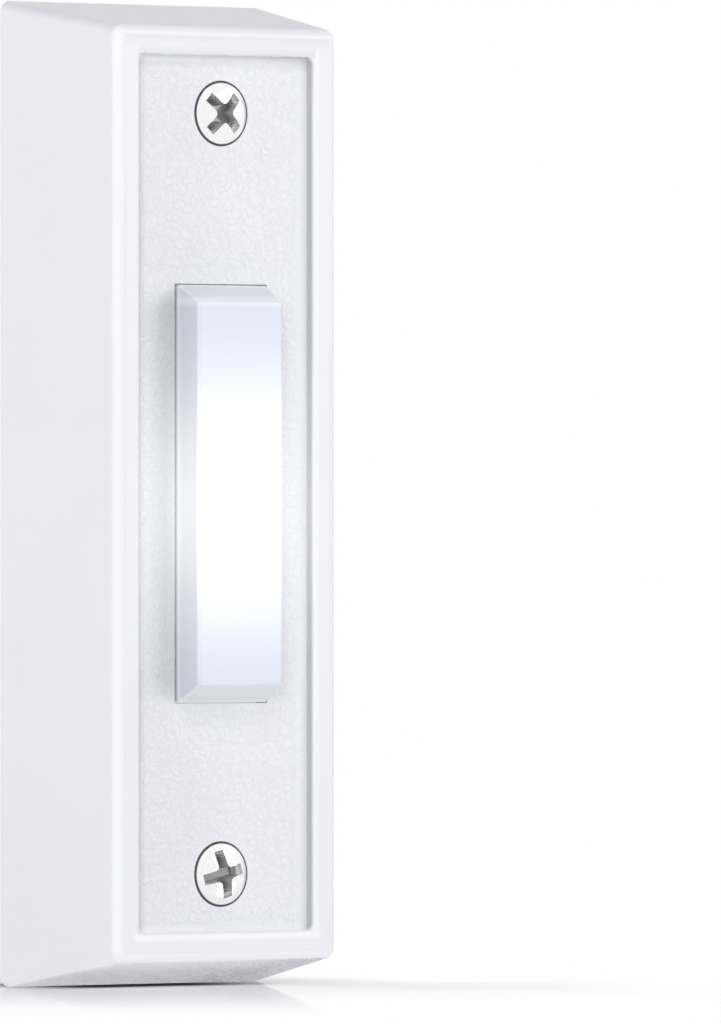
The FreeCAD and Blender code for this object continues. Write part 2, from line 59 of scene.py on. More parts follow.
# Sizes that the dressed pieces share with the model
PANEL_Y = -12.7
BAR_FRONT_Y = -15.55
BASE_FRONT_Y = -7.0
SCREW_Z = 31.75
WINDOW_HALF = (4.75, 17.5)
RECESS_HALF = (8.9, 36.55)
SEAT_RADIUS = 2.75
HEAD_RADIUS = 2.7
HEAD_DOME = 0.7
BACK_HALF_WIDTH = 13.6
BACK_HALF_HEIGHT = 41.25


# Node helpers
class Nodes:
    """Small helpers that add nodes to a tree and hand back their outputs."""

    def __init__(self, tree):
        self.tree = tree

    def add(self, kind, inputs=None, **settings):
        node = self.tree.nodes.new(kind)
        for key, value in settings.items():
            setattr(node, key, value)
        for key, value in (inputs or {}).items():
            self.feed(node.inputs[key], value)
        return node

    def feed(self, socket, value):
        if isinstance(value, bpy.types.NodeSocket):
            self.tree.links.new(value, socket)
        else:
            socket.default_value = value

    def math(self, operation, a, b=0.0, c=0.0):
        return self.add("ShaderNodeMath", {0: a, 1: b, 2: c}, operation=operation).outputs[0]

    def multiply(self, *factors):
        product = factors[0]
        for factor in factors[1:]:
            product = self.math("MULTIPLY", product, factor)
        return product

    def total(self, *terms):
        result = terms[0]
        for term in terms[1:]:
            result = self.math("ADD", result, term)
        return result

    def largest(self, *values):
        result = values[0]
        for value in values[1:]:
            result = self.math("MAXIMUM", result, value)
        return result

    def magnitude(self, value):
        return self.math("ABSOLUTE", value)

    def rest_of(self, share):
        return self.math("SUBTRACT", 1.0, share)

    def past(self, value, limit):
        """How far the magnitude of a length is past limit; negative short of it."""
        return self.math("SUBTRACT", self.magnitude(value), limit * MM)

    def outside(self, a, b, half_a, half_b):
        """How far a point (a, b) is outside a rectangle of these half sizes."""
        over_a = self.math("MAXIMUM", self.past(a, half_a), 0.0)
        over_b = self.math("MAXIMUM", self.past(b, half_b), 0.0)
        return self.length(over_a, over_b)

    def length(self, a, b):
        return self.math("SQRT", self.total(self.multiply(a, a), self.multiply(b, b)))

    def ramp(self, value, low, high, to_low=0.0, to_high=1.0):
        """Smooth step of value between low and high."""
        limits = {"From Min": low, "From Max": high, "To Min": to_low, "To Max": to_high}
        node = self.add(
            "ShaderNodeMapRange", {"Value": value, **limits}, interpolation_type="SMOOTHSTEP"
        )
        return node.outputs["Result"]

    def ramp_mm(self, value, low, high, to_low=0.0, to_high=1.0):
        """Smooth step of a length, with low and high in millimetres."""
        return self.ramp(value, low * MM, high * MM, to_low, to_high)

    def seen_directly(self):
        """1 for rays from the camera and for those by way of a mirror or a clear surface."""
        path = self.add("ShaderNodeLightPath").outputs
        kinds = ("Is Camera Ray", "Is Glossy Ray", "Is Transmission Ray")
        return self.largest(*(path[kind] for kind in kinds))


class Surface(Nodes):
    """A principled material with helpers for its colour, gloss, glow and relief."""

    def __init__(self, name, color, roughness, metallic=0.0, specular=0.5):
        self.material = bpy.data.materials.new(name)
        self.material.use_nodes = True
        super().__init__(self.material.node_tree)
        self.shader = self.tree.nodes["Principled BSDF"]
        self.shader.inputs["Base Color"].default_value = (*color, 1)
        self.shader.inputs["Roughness"].default_value = roughness
        self.shader.inputs["Metallic"].default_value = metallic
        self.shader.inputs["Specular IOR Level"].default_value = specular
        self.color = color
        self.roughness = roughness
        self.position = self.add("ShaderNodeTexCoord").outputs["Object"]
        self.relief = None

    def axes(self):
        return self.add("ShaderNodeSeparateXYZ", {0: self.position}).outputs

    def normal_axes(self):
        normal = self.add("ShaderNodeNewGeometry").outputs["Normal"]
        return self.add("ShaderNodeSeparateXYZ", {0: normal}).outputs

    def noise(self, size, detail=3.0, rough=0.5, distortion=0.0, vector=None):
        """Noise whose features are about size millimetres wide."""
        inputs = {
            "Vector": vector or self.position, "Scale": 1 / (size * MM), "Detail": detail,
            "Roughness": rough, "Distortion": distortion,
        }
        return self.add("ShaderNodeTexNoise", inputs).outputs["Fac"]

    def cell_edges(self, size, vector):
        """Distance from the edges of cells about size millimetres wide."""
        inputs = {"Vector": vector, "Scale": 1 / (size * MM)}
        node = self.add("ShaderNodeTexVoronoi", inputs, feature="DISTANCE_TO_EDGE")
        return node.outputs["Distance"]

    def stretched(self, x, y, z):
        node = self.add("ShaderNodeMapping", {"Vector": self.position, "Scale": (x, y, z)})
        return node.outputs["Vector"]

    def warped(self, size, amount):
        """Position pushed about by noise of this size, by up to amount either way."""
        inputs = {"Vector": self.position, "Scale": 1 / (size * MM), "Detail": 2.0}
        shift = self.add("ShaderNodeTexNoise", inputs).outputs["Color"]
        centred = self.vector_math("ADD", shift, (-0.5, -0.5, -0.5))
        return self.vector_math("ADD", self.position, self.scaled(centred, 2 * amount * MM))

    def vector_math(self, operation, a, b):
        return self.add("ShaderNodeVectorMath", {0: a, 1: b}, operation=operation).outputs[0]

    def scaled(self, vector, scale):
        return self.add("ShaderNodeVectorMath", {0: vector, 3: scale}, operation="SCALE").outputs[0]

    def mix(self, factor, a, b):
        """Colour between a and b; each is a colour or a socket."""
        node = self.add("ShaderNodeMix", data_type="RGBA")
        self.feed(node.inputs[0], factor)
        for socket, value in ((node.inputs[6], a), (node.inputs[7], b)):
            is_socket = isinstance(value, bpy.types.NodeSocket)
            self.feed(socket, value if is_socket else (*value, 1))
        return node.outputs[2]

    def paint(self, color):
        self.feed(self.shader.inputs["Base Color"], color)

    def tint(self, factor, darker):
        """Goes from the written colour to a darker one, and past both, by factor."""
        scale = self.math("MULTIPLY_ADD", factor, darker - 1, 1.0)
        self.paint(self.scaled(self.color, scale))

    def emit(self, strength, color):
        self.feed(self.shader.inputs["Emission Strength"], strength)
        self.feed(self.shader.inputs["Emission Color"], color)

    def vary_roughness(self, factor, spread):
        low, high = self.roughness - spread, self.roughness + spread
        self.feed(self.shader.inputs["Roughness"], self.ramp(factor, 0.2, 0.8, low, high))

    def bump(self, height, depth, strength=1.0):
        """Adds a bump whose height runs over depth millimetres; several follow one another."""
        inputs = {"Height": height, "Distance": depth * MM, "Strength": strength}
        if self.relief:
            inputs["Normal"] = self.relief
        self.relief = self.add("ShaderNodeBump", inputs).outputs["Normal"]
        self.feed(self.shader.inputs["Normal"], self.relief)


# Light that the lamp behind the bar gives off along the bar, and a painted glow on the panel around
# the window that stands for its light falling there
LAMP_CENTRE_Z = -0.8
LAMP_SPREAD = 10.0
PANEL_REACH = 3.2
PANEL_GLOW = 0.25
PANEL_GLOW_COLOR = (0.97, 0.98, 1.0, 1)


def lamp_glow(s, z):
    """Brightness of the lamp's light along the bar, from 0 to 1."""
    along = s.math("DIVIDE", s.math("SUBTRACT", z, LAMP_CENTRE_Z * MM), LAMP_SPREAD * MM)
    return s.math("EXPONENT", s.multiply(along, along, -1.0))


# Tones of the housing's plastic. One unit darkens its colour by 16 %, a negative one lightens it,
# and LIGHTEST_TONE keeps the colour under pure white.
TONE_UNIT = 0.84
LIGHTEST_TONE = -0.64
# Darkening tones are painted shade and lightening ones painted light, apart from speckle and cloud,
# the plastic's own grain and mottling, and panel, the panel's own slightly darker tone.
TONES = {
    "speckle": 1.6, "under_left": -0.64, "under_right": 0.35, "under_far_right": 1.5,
    "floor_right": 0.8, "floor_left": 0.35, "floor_top": 0.55, "wall_right": 2.2, "lip_left": 1.1,
    "panel": 0.12, "furrow": 0.1, "beside_bar": 1.3, "left_half": 0.35, "far_side": -0.9,
    "far_side_lit": 0.6, "cloud": 0.1, "rim_top": 0.55, "lip_top": 0.6, "bend": -0.6,
    "lip_light": -0.6,
}
# The bar's shade on the panel ends short of the window's ends.
SHADE_HALF_HEIGHT = 15.5


class HousingPlastic(Surface):
    """White plastic with leather grain on the panel, a fine grain elsewhere, and slight tones
    where the photo shows light or shade that the lamps don't give."""

    def __init__(self):
        super().__init__("housing_white_plastic", (0.85, 0.85, 0.905), 0.33)
        self.x, self.y, self.z = self.axes()
        self.normal_x, self.normal_y, normal_z = self.normal_axes()
        self.below = self.ramp(normal_z, -0.75, -0.95)
        self.past_x = self.past(self.x, RECESS_HALF[0])
        self.past_z = self.past(self.z, RECESS_HALF[1])
        past_both = self.largest(self.past_x, self.past_z)
        self.in_recess = self.multiply(
            self.ramp_mm(self.y, -12.4, -12.55), self.ramp_mm(past_both, 0.1, 0.0)
        )
        self.on_panel = self.multiply(self.in_recess, self.ramp_mm(past_both, -0.2, -0.8))
        self.glow = lamp_glow(self, self.z)
        self.creases = self.cell_edges(0.7, self.warped(1.5, 0.5))
        self.grain = self.noise(0.16, 3, 0.75, vector=self.stretched(1, 0.2, 1))
        self.add_relief()
        self.add_tones()
        self.add_painted_panel_glow()
        self.vary_roughness(self.noise(1.4, 4), 0.04)

    def add_relief(self):
        self.bump(self.multiply(self.ramp(self.creases, 0.0, 0.2), self.on_panel), 0.05, 0.5)
        self.bump(self.multiply(self.noise(0.4, 4, 0.6), self.on_panel), 0.03, 0.3)
        self.bump(self.multiply(self.grain, self.below), 0.06, 0.6)
        self.bump(self.noise(0.22, 2, 0.6), 0.004, 0.5)

    def add_tones(self):
        cloud = self.ramp(self.noise(9, 2), 0.3, 0.7, 0.0, TONES["cloud"])
        tone = self.total(
            cloud, self.under_grain_and_shade(), self.painted_corner_shade(), self.panel_tone_and_shade(), self.shade_tone(),
            self.rim_tone(), self.edge_light(),
        )
        self.tint(self.math("MAXIMUM", tone, LIGHTEST_TONE), TONE_UNIT)

    def add_painted_panel_glow(self):
        # Painted glow on the panel near the window, standing in for the lamp's light falling on it
        from_window = self.outside(self.x, self.z, *WINDOW_HALF)
        reach = self.math("EXPONENT", self.math("MULTIPLY", from_window, -1 / (PANEL_REACH * MM)))
        light = self.multiply(reach, self.glow, self.in_recess, PANEL_GLOW)
        self.emit(light, PANEL_GLOW_COLOR)

    def under_grain_and_shade(self):
        """Speckle of the bottom face, with painted light on its left and painted shade that grows
        darker to the right.
        """
        speckle = self.ramp(self.grain, 0.34, 0.66, TONES["speckle"], -TONES["speckle"])
        slope = self.ramp_mm(self.x, -6, 12, TONES["under_left"], TONES["under_right"])
        far_right = self.ramp_mm(self.x, 2.5, 9, 0.0, TONES["under_far_right"])
        return self.multiply(self.total(speckle, slope, far_right), self.below)

    def painted_corner_shade(self):
        """Painted shade along the lines where the panel meets the recess walls, on the right wall,
        and on the left lip.
        """
        floor_right = self.ramp_mm(self.x, 8.75, 8.87, 0.0, TONES["floor_right"])
        floor_left = self.ramp_mm(self.x, -7.6, -8.7, 0.0, TONES["floor_left"])
        floor_top = self.ramp_mm(self.z, 36.1, 36.5, 0.0, TONES["floor_top"])
        wall_right = self.multiply(
            self.ramp(self.normal_x, -0.3, -0.75, 0.0, TONES["wall_right"]),
            self.ramp_mm(self.x, 8.0, 8.2),
        )
        corner = self.multiply(
            self.largest(floor_right, floor_left, floor_top, wall_right),
            self.ramp_mm(self.y, -13.62, -13.2), self.in_recess,
        )
        lip_left = self.multiply(
            self.ramp_mm(self.x, -9.3, -9.1), self.ramp_mm(self.x, -8.1, -8.5),
            self.ramp_mm(self.magnitude(self.z), 36.8, 36.45), self.ramp_mm(self.y, -12.0, -12.4),
            TONES["lip_left"],
        )
        return self.largest(corner, lip_left)

    def panel_tone_and_shade(self):
        """Painted shade in the grain's creases and on the panel's left half, away from the lamp,
        over a slightly darker tone of the whole panel.
        """
        furrow = self.ramp(self.creases, 0.0, 0.14, TONES["furrow"], 0.0)
        left_half = self.multiply(
            self.ramp_mm(self.x, 3, -6, 0.0, TONES["left_half"]), self.rest_of(self.glow)
        )
        return self.multiply(self.total(furrow, left_half, TONES["panel"]), self.on_panel)

    def shade_tone(self):
        """The bar's soft shade to its left, and the light strip along the panel's right side."""
        from_bar = self.outside(self.x, self.z, WINDOW_HALF[0], SHADE_HALF_HEIGHT)
        beside_bar = self.multiply(
            self.ramp_mm(from_bar, 4.4, 0.0, 0.0, TONES["beside_bar"]),
            self.ramp_mm(self.x, 0.0, -4.7), self.ramp_mm(self.magnitude(self.z), 18, 15),
            self.ramp_mm(self.z, -15, -7, 0.75, 1.0), self.in_recess,
        )
        lightness = self.math("MULTIPLY_ADD", self.glow, TONES["far_side_lit"], TONES["far_side"])
        far_side = self.multiply(
            self.ramp_mm(self.x, 7.4, 8.4), self.ramp_mm(self.x, 8.85, 8.75),
            self.ramp_mm(self.y, -12.95, -12.8), self.in_recess, lightness,
        )
        return self.total(beside_bar, far_side)

    def rim_tone(self):
        """Shade on the rim's top band and its lip, and on the front of the right side."""
        rim_top = self.multiply(
            self.ramp_mm(self.z, 36.8, 38.3, 0.0, TONES["rim_top"]),
            self.ramp(self.normal_y, -0.998, -0.9998),
        )
        right_edge = self.multiply(
            self.ramp(self.normal_x, 0.4, 0.8), self.ramp(self.normal_y, -0.1, -0.35),
            self.ramp_mm(self.y, -12.4, -12.7),
        )
        lip_top = self.multiply(
            self.ramp_mm(self.z, 37.4, 36.75), self.ramp_mm(self.z, 36.4, 36.55),
            self.ramp_mm(self.past_x, 0.3, 0.0), self.ramp_mm(self.y, -13.3, -13.5),
            TONES["lip_top"],
        )
        return self.total(rim_top, right_edge, lip_top)

    def edge_light(self):
        """Light on the rounded edges, and on the lip at the right and below."""
        facing = self.magnitude(self.normal_y)
        bend = self.multiply(
            self.ramp(facing, 0.25, 0.5), self.ramp(facing, 0.9995, 0.95),
            self.rest_of(self.on_panel), TONES["bend"],
        )
        lip_low = self.multiply(
            self.ramp_mm(self.z, -37.4, -37.0), self.ramp_mm(self.z, -36.5, -36.7),
            self.ramp_mm(self.past_x, 0.9, 0.4),
        )
        lip_right = self.multiply(
            self.ramp_mm(self.x, 9.55, 9.2), self.ramp_mm(self.x, 8.9, 9.1),
            self.ramp_mm(self.past_z, 0.9, 0.4),
        )
        lip_light = self.multiply(
            self.largest(lip_low, lip_right), self.ramp_mm(self.y, -13.0, -13.4),
            TONES["lip_light"],
        )
        return self.math("MINIMUM", bend, lip_light)


# Strength of the lamp's light where it leaves the bar, apart from the end bevels, whose light is
# painted, and the upper edge, whose light is a painted highlight. The gap is the bar's foot in the
# window.
LENS_LIGHT = {
    "front": 0.62, "side": 0.29, "end": 0.09, "upper_edge_highlight": 0.11, "foot": 0.1, "gap": 0.12,
    "gap_upper_end": 0.1, "gap_lower_end": 0.26,
}
FRONT_FALL = 1.2


def lens_plastic():
    """Milky plastic, brightest over the lamp, with painted light on its end bevels, a painted
    highlight along its upper edge, and painted shade on its sides.
    """
    s = Surface("bar_lens_plastic", (0.70, 0.745, 0.86), 0.33)
    _, y, z = s.axes()
    glow = lamp_glow(s, z)
    tall = s.magnitude(z)
    outside = s.ramp_mm(y, -12.6, -12.95)
    on_front = s.ramp_mm(y, BAR_FRONT_Y + 0.4, BAR_FRONT_Y + 0.05)
    on_side = s.rest_of(on_front)
    on_end = s.ramp(s.magnitude(s.normal_axes()[2]), 0.25, 0.6)
    # Painted highlight along the front's upper edge
    painted_highlight_band = s.multiply(s.ramp_mm(z, 15.4, 15.95), s.ramp_mm(z, 16.6, 16.05))
    light = s.total(
        s.multiply(s.math("POWER", glow, FRONT_FALL), on_front, LENS_LIGHT["front"]),
        s.multiply(glow, on_side, LENS_LIGHT["side"]),
        # Painted light on the end bevels
        s.multiply(on_end, on_side, LENS_LIGHT["end"]),
        s.multiply(painted_highlight_band, LENS_LIGHT["upper_edge_highlight"]),
        s.ramp_mm(y, -13.5, -12.85, 0.0, LENS_LIGHT["foot"]),
    )
    end_gap = s.multiply(
        s.ramp_mm(tall, 17.2, 17.35),
        s.ramp_mm(z, 5, -5, LENS_LIGHT["gap_upper_end"], LENS_LIGHT["gap_lower_end"]),
    )
    gap = s.multiply(s.total(end_gap, s.multiply(glow, LENS_LIGHT["gap"])), s.rest_of(outside))
    cloud = s.ramp(s.noise(4.0, 2), 0.3, 0.7, 0.98, 1.02)
    shown = s.multiply(light, outside, cloud)
    s.emit(s.total(shown, gap), s.mix(on_front, (1.0, 0.95, 0.8), (0.95, 0.98, 1.0)))
    # Painted shade: the bevels are darker than the front
    s.paint(s.mix(on_side, s.color, (0.65, 0.68, 0.76)))
    s.vary_roughness(s.noise(2.5, 2), 0.025)
    return s.material


# Cross recess of the wall screws: its reach from the axis, and the painted light and dark bands at
# the ends of its arms
RECESS_REACH = 2.1
PAINTED_BAND_RADIUS = 1.58
PAINTED_BAND_PITCH = 0.34


def screw_head_steel():
    """Bright plated steel, with painted shade in the cross recess that is darker the deeper it
    goes, painted light and dark bands at the ends of its arms, and a painted dark ring around the
    head.
    """
    s = Surface("screw_plated_steel", (0.93, 0.93, 0.935), 0.16, metallic=1.0)
    x, y, z = s.axes()
    radius = s.length(x, s.past(z, SCREW_Z))
    sphere = (HEAD_RADIUS ** 2 + HEAD_DOME ** 2) / (2 * HEAD_DOME) * MM
    top_y = (PANEL_Y - HEAD_DOME) * MM
    dome = s.math("MULTIPLY_ADD", s.multiply(radius, radius), 1 / (2 * sphere), top_y)
    depth = s.math("SUBTRACT", y, dome)
    near_axis = s.multiply(
        s.ramp_mm(radius, RECESS_REACH + 0.1, RECESS_REACH), s.ramp_mm(y, -11.2, -11.5)
    )
    recess = s.multiply(s.ramp_mm(depth, 0.02, 0.1), near_axis)
    # Painted light and dark bands at the ends of the cross's arms
    from_band = s.math("SUBTRACT", radius, PAINTED_BAND_RADIUS * MM)
    waves = s.math("COSINE", s.math("MULTIPLY", from_band, 2 * math.pi / (PAINTED_BAND_PITCH * MM)))
    steps = s.multiply(s.ramp_mm(radius, 1.4, 1.5), s.math("MULTIPLY_ADD", waves, -0.5, 0.5))
    # Painted shade in the recess, darker the deeper it goes
    shade = s.mix(s.ramp_mm(depth, 0.25, 1.0), (0.5, 0.5, 0.51), (0.3, 0.303, 0.31))
    shade = s.mix(steps, shade, (0.9, 0.9, 0.9))
    brushed = s.noise(0.5, 4, 0.6, vector=s.stretched(1, 6, 1))
    bright = s.mix(s.ramp(brushed, 0.3, 0.75, 0.0, 0.12), s.color, (0.5, 0.5, 0.52))
    # Painted shade: a dark ring around the head's edge
    rim = s.multiply(s.ramp_mm(radius, 2.5, 2.6), s.ramp_mm(y, -11.5, -12.4))
    head = s.mix(rim, s.mix(recess, bright, shade), (0.06, 0.06, 0.065))
    on_shank = s.ramp_mm(y, -10.9, -10.5)
    s.paint(s.mix(on_shank, head, (0.5, 0.505, 0.52)))
    # Less metallic under the painted shade, so that its grey shows
    dull = s.ramp(s.largest(recess, rim), 0.0, 1.0, 1.0, 0.25)
    s.feed(s.shader.inputs["Metallic"], dull)
    s.bump(brushed, 0.004, 0.5)
    s.vary_roughness(s.noise(0.7, 3), 0.05)
    return s.material


def zinc_plate():
    """Zinc plating with its fine dull patches, for the wire screws and their washers."""
    s = Surface("terminal_zinc_plate", (0.70, 0.71, 0.73), 0.32, metallic=1.0)
    patches = s.noise(0.5, 4, 0.6)
    s.paint(s.mix(s.ramp(patches, 0.35, 0.7), s.color, (0.5, 0.51, 0.54)))
    s.bump(patches, 0.008, 0.5)
    s.vary_roughness(s.noise(1.0, 3), 0.1)
    return s.material


def metal(name, color, roughness, grain=0.6, stain=None):
    """Rolled or drawn metal, with patches of stain if a colour is given for them."""
    s = Surface(name, color, roughness, metallic=1.0)
    rolled = s.noise(grain, 4, 0.6, vector=s.stretched(1, 1, 5))
    s.bump(rolled, 0.006, 0.5)
    if stain:
        patches = s.ramp(s.noise(2.4, 5, 0.6), 0.45, 0.8, 0.0, 0.35)
        s.paint(s.mix(patches, s.color, stain))
    else:
        s.tint(s.ramp(rolled, 0.35, 0.75), 0.85)
    s.vary_roughness(s.noise(1.3, 4), 0.08)
    return s.material


def moulded(name, color, roughness, grain, depth, fleck=None):
    """Moulded or coated material with a fine grain, and flecks of another colour if given."""
    s = Surface(name, color, roughness)
    s.bump(s.noise(grain, 3, 0.6), depth, 0.6)
    if fleck:
        flecks = s.ramp(s.noise(0.45, 5, 0.7, 0.6), 0.55, 0.72)
        s.paint(s.mix(flecks, s.color, fleck))
    else:
        s.tint(s.ramp(s.noise(3.0, 4), 0.3, 0.7), 0.88)
    s.vary_roughness(s.noise(1.0, 3), 0.06)
    return s.material


def lamp_epoxy():
    """Clear epoxy, lit more and more towards the lamp's dome."""
    s = Surface("lamp_clear_epoxy", (0.86, 0.88, 0.92), 0.12)
    _, y, _ = s.axes()
    s.emit(s.ramp_mm(y, -8.2, -11.0, 0.1, 1.6), (0.93, 0.97, 1.0, 1))
    s.tint(s.ramp(s.noise(0.8, 3), 0.3, 0.7), 0.92)
    s.bump(s.noise(0.6, 2), 0.004, 0.4)
    return s.material


def board_green():
    """Glass-fibre board: green mask over a woven base, bare at the cut edges."""
    s = Surface("board_green_mask", (0.035, 0.17, 0.07), 0.35)
    x, y, z = s.axes()
    threads = 2 * math.pi / (0.5 * MM)
    weave_x, weave_z = (s.math("SINE", s.math("MULTIPLY", axis, threads)) for axis in (x, z))
    weave = s.multiply(weave_x, weave_z)
    s.bump(weave, 0.008, 0.5)
    edge = s.multiply(s.ramp_mm(y, -7.95, -7.85), s.ramp_mm(y, -7.05, -7.15))
    mask = s.mix(s.ramp(weave, -1, 1, 0.0, 0.25), s.color, (0.06, 0.24, 0.1))
    s.paint(s.mix(edge, mask, (0.42, 0.42, 0.24)))
    s.vary_roughness(s.noise(1.0, 3), 0.06)
    return s.material


def banded(name, color, band, places, width, roughness):
    """Body of a small axial part, with painted bands of this width at places along X."""
    s = Surface(name, color, roughness)
    x, _, _ = s.axes()
    stripes = []
    for place in places:
        away = s.magnitude(s.math("SUBTRACT", x, place * MM))
        stripes.append(s.ramp_mm(away, (width + 0.05) / 2, (width - 0.05) / 2))
    s.paint(s.mix(s.largest(*stripes), s.color, band))
    s.bump(s.noise(0.3, 3), 0.008, 0.5)
    s.vary_roughness(s.noise(0.9, 3), 0.05)
    return s.material


MATERIALS = {
    "housing_white": HousingPlastic().material,
    "bar_lens": lens_plastic(),
    "base_plastic": moulded(
        "base_brown_phenolic", (0.115, 0.05, 0.028), 0.42, 0.4, 0.02, fleck=(0.2, 0.1, 0.06)
    ),
    "spring_bronze": metal(
        "leaf_phosphor_bronze", (0.66, 0.38, 0.2), 0.28, stain=(0.36, 0.19, 0.11)
    ),
    "contact_silver": metal(
        "contact_silver_alloy", (0.88, 0.87, 0.85), 0.2, stain=(0.5, 0.47, 0.42)
    ),
    "strip_brass": metal("strip_rolled_brass", (0.78, 0.57, 0.25), 0.3, stain=(0.45, 0.3, 0.13)),
    "board_green": board_green(),
    "lamp_epoxy": lamp_epoxy(),
    "diode_black": banded(
        "diode_black_body", (0.02, 0.02, 0.022), (0.62, 0.63, 0.65), (1.35,), 0.5, 0.35
    ),
    "resistor_tan": banded(
        "resistor_tan_body", (0.62, 0.5, 0.32), (0.35, 0.05, 0.03), (-1.2, -0.35, 0.35, 1.2),
        0.32, 0.3,
    ),
    "screw_steel": screw_head_steel(),
    "spring_steel": metal("spring_drawn_wire", (0.6, 0.6, 0.61), 0.26, grain=0.3),
    "tinned_wire": metal(
        "lead_tinned_copper", (0.82, 0.81, 0.79), 0.24, grain=0.3, stain=(0.6, 0.56, 0.5)
    ),
    "wire_cover": moulded("wire_white_cover", (0.74, 0.74, 0.72), 0.45, 0.5, 0.01),
    "solder": metal(
        "solder_bright_fillet", (0.74, 0.74, 0.75), 0.2, grain=0.5, stain=(0.46, 0.46, 0.48)
    ),
}
TERMINAL_FINISH = zinc_plate()


# Mesh helpers
JOIN_DISTANCE = 1e-4
FLAT_ANGLE = 0.3
SOFTENED_ANGLE = 35.0
SOFTENED_SEGMENTS = 2
TUBE_SIDES = 14


def everything(mesh):
    return mesh.verts[:] + mesh.edges[:] + mesh.faces[:]


def cad_mesh(node):
    """Copy of a node's mesh in millimetres, with its split vertices joined again."""
    mesh = bmesh.new()
    mesh.from_mesh(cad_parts[node].data)
    bmesh.ops.scale(mesh, vec=(1 / MM,) * 3, verts=mesh.verts)
    bmesh.ops.remove_doubles(mesh, verts=mesh.verts, dist=JOIN_DISTANCE)
    return mesh


def delete_loose(mesh):
    loose_edges = [edge for edge in mesh.edges if not edge.link_faces]
    bmesh.ops.delete(mesh, geom=loose_edges, context="EDGES")
    loose_verts = [vertex for vertex in mesh.verts if not vertex.link_edges]
    bmesh.ops.delete(mesh, geom=loose_verts, context="VERTS")


def as_piece(mesh, name, slot, node, sharp=50.0):
    """Object made from a bmesh in millimetres, in the place of node."""
    delete_loose(mesh)
    bmesh.ops.scale(mesh, vec=(MM,) * 3, verts=mesh.verts)
    data = bpy.data.meshes.new(name)
    mesh.to_mesh(data)
    mesh.free()
    carried = data.attributes.get("custom_normal")
    if carried:
        # Normals carried over from the model would keep its edges from being marked sharp.
        data.attributes.remove(carried)
    data.shade_smooth()
    data.set_sharp_from_angle(angle=math.radians(sharp))
    piece = bpy.data.objects.new(name, data)
    bpy.context.scene.collection.objects.link(piece)
    weighted = piece.modifiers.new("weighted_normals", "WEIGHTED_NORMAL")
    weighted.keep_sharp = True
    data.materials.append(MATERIALS[slot])
    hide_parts(node)
    return piece


def soften(mesh, width):
    """Joins split faces into whole ones and rounds the edges between them."""
    bmesh.ops.dissolve_limit(
        mesh, angle_limit=math.radians(FLAT_ANGLE), use_dissolve_boundaries=False,
        verts=mesh.verts, edges=mesh.edges, delimit={"NORMAL"},
    )
    sharp = math.radians(SOFTENED_ANGLE)
    edges = [
        edge for edge in mesh.edges if edge.is_manifold and edge.calc_face_angle(0.0) > sharp
    ]
    bmesh.ops.bevel(
        mesh, geom=edges, offset=width, offset_type="OFFSET", segments=SOFTENED_SEGMENTS,
        profile=0.5, affect="EDGES", clamp_overlap=True, miter_outer="ARC",
    )


def tube(mesh, points, radius):
    """Closed round tube through points."""
    rings = []
    side_axis = None
    for index, point in enumerate(points):
        before = points[max(index - 1, 0)]
        after = points[min(index + 1, len(points) - 1)]
        direction = (after - before).normalized()
        if side_axis is None:
            side_axis = direction.orthogonal().normalized()
        side_axis = (side_axis - direction * side_axis.dot(direction)).normalized()
        other_axis = direction.cross(side_axis)
        ring = []
        for step in range(TUBE_SIDES):
            angle = 2 * math.pi * step / TUBE_SIDES
            offset = side_axis * math.cos(angle) + other_axis * math.sin(angle)
            ring.append(mesh.verts.new(point + offset * radius))
        rings.append(ring)
    for low, high in zip(rings, rings[1:]):
        for step in range(TUBE_SIDES):
            following = (step + 1) % TUBE_SIDES
            mesh.faces.new((low[step], low[following], high[following], high[step]))
    mesh.faces.new(list(reversed(rings[0])))
    mesh.faces.new(rings[-1])


# Housing, with its leather-grained panel
LEATHER_STEP = 0.2
LEATHER_ROW = 0.866 * LEATHER_STEP
LEATHER_DEPTH = 0.085
CREASE_SHARE = 0.65
CREASE_WIDTH = 0.34
CALM_BORDER = 1.1
PEBBLE_RATE = (1.25, 1.2)
BEND_RATE, BEND_AMOUNT = 0.7, 0.7
RIPPLE_RATE, RIPPLE_AMOUNT = 2.0, 0.35
SWELL_RATE = 0.8
GRAIN_SEED = 7


def smooth_step(value, low, high):
    share = min(max((value - low) / (high - low), 0), 1)
    return share * share * (3 - 2 * share)


def distance_to_outlines(x, z):
    """How far a point of the panel is from the rim, the window and the screw seats."""
    to_rim = min(RECESS_HALF[0] - abs(x), RECESS_HALF[1] - abs(z))
    to_window = math.hypot(max(abs(x) - WINDOW_HALF[0], 0), max(abs(z) - WINDOW_HALF[1], 0))
    to_screw = math.hypot(x, abs(z) - SCREW_Z) - SEAT_RADIUS
    return min(to_rim, to_window, to_screw)


def leather_depth(x, z):
    """Depth of the grain below the panel: wavy creases between low pebbles."""
    bend = noise.noise_vector(Vector((x * BEND_RATE, z * BEND_RATE, 3.1)))
    ripple = noise.noise_vector(Vector((x * RIPPLE_RATE, z * RIPPLE_RATE, 9.4)))
    bend += RIPPLE_AMOUNT * ripple
    across = (x + BEND_AMOUNT * bend.x) * PEBBLE_RATE[0]
    up = (z + BEND_AMOUNT * bend.y) * PEBBLE_RATE[1]
    near, next_near = noise.voronoi(Vector((across, up, 0.5 * bend.z)))[0][:2]
    crease = 1 - smooth_step(next_near - near, 0.0, CREASE_WIDTH)
    swell = 0.5 + 0.5 * noise.noise(Vector((x * SWELL_RATE, z * SWELL_RATE, 7.7)))
    return LEATHER_DEPTH * (CREASE_SHARE * crease + (1 - CREASE_SHARE) * swell)


